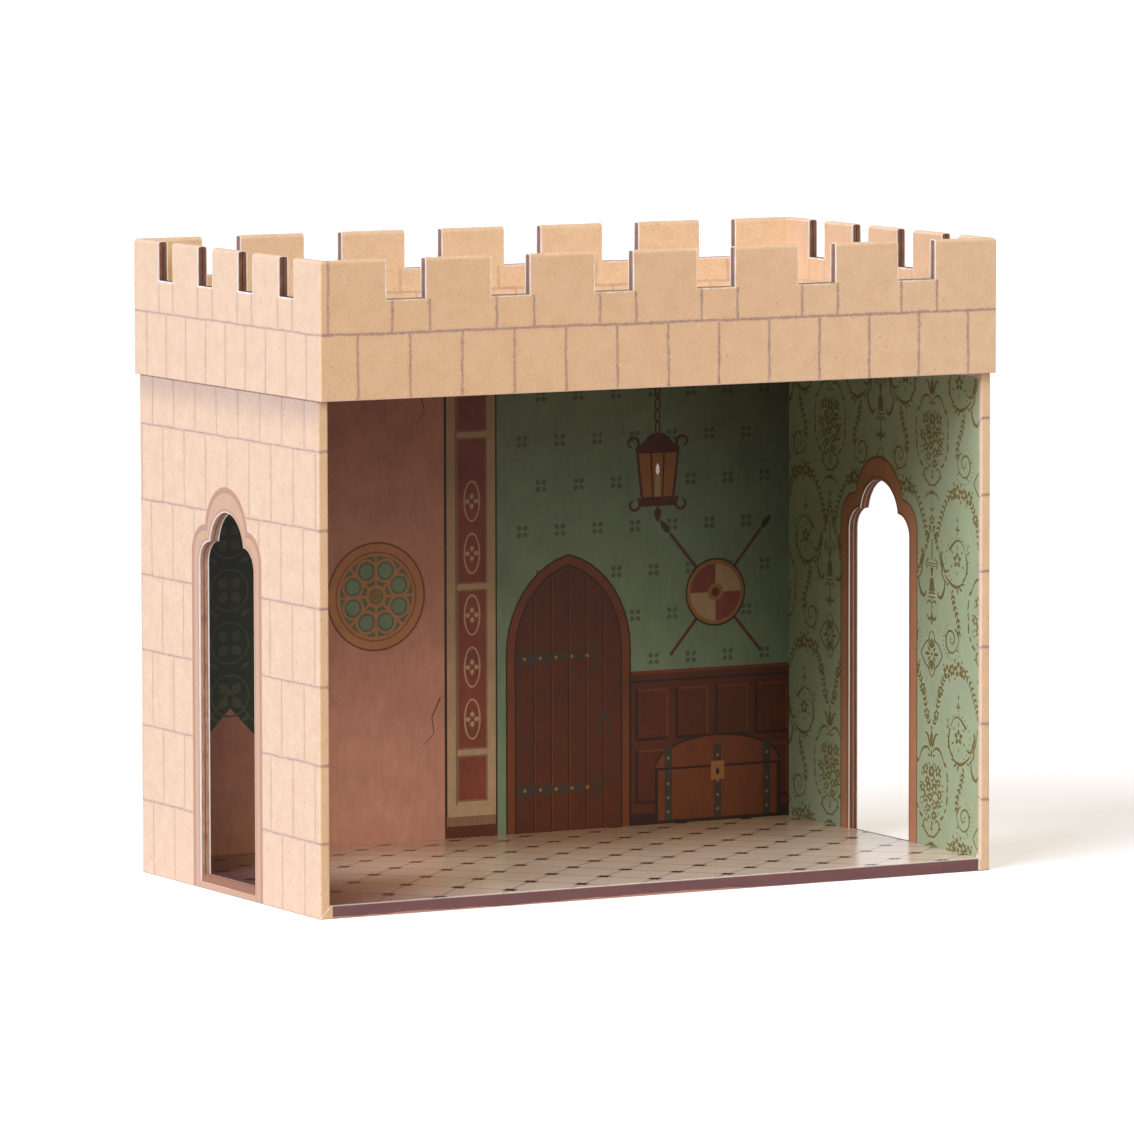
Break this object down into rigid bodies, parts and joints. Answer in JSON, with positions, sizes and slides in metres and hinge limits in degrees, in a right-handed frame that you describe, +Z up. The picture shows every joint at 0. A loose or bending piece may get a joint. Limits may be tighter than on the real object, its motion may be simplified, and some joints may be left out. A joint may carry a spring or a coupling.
{
  "type": "cardboard castle",
  "caption": "Open-front toy castle room of paper-covered board with shouldered doorways in both sides and a battlemented crown on top.",
  "frame": {"origin": "middle of the bounding box's bottom face, on the surface that the castle stands on", "axes": "+Z up, +X to the right seen from the open front, which faces -Y"},
  "size_m": [0.31, 0.172, 0.262],
  "materials": {
    "greyboard": "bare brown cut edge of rigid board",
    "stone_print": "matt printed paper, stone blocks on peach and tan",
    "plain_paper": "matt tan paper",
    "edge_print": "matt paper printed dark mauve",
    "tile_print": "slightly glossy paper printed with cream tiles and dark dots",
    "wall_print": "matt paper printed sage green with an olive ornament",
    "picture_print": "matt paper printed as a painted hall wall"
  },
  "bodies": {
    "root": {"back_lining_board": "greyboard", "back_wall_board": "greyboard", "back_wallpaper": "picture_print", "base_board": "greyboard", "base_paper": "stone_print", "ceiling_paper": "plain_paper", "crown_back_inner_board": "greyboard", "crown_back_outer_board": "greyboard", "crown_base_board": "greyboard", "crown_deck_board": "greyboard", "crown_front_inner_board": "greyboard", "crown_front_outer_board": "greyboard", "crown_left_inner_board": "greyboard", "crown_left_outer_board": "greyboard", "crown_right_inner_board": "greyboard", "crown_right_outer_board": "greyboard", "crown_wrap": "stone_print", "deck_paper": "plain_paper", "floor_board": "greyboard", "floor_edge_paper": "edge_print", "left_lining_board": "greyboard", "left_wall_board": "greyboard", "left_wallpaper": "wall_print", "right_lining_board": "greyboard", "right_wall_board": "greyboard", "right_wallpaper": "wall_print", "stone_wrap": "stone_print", "tile_paper": "tile_print"}
  },
  "joints": []
}
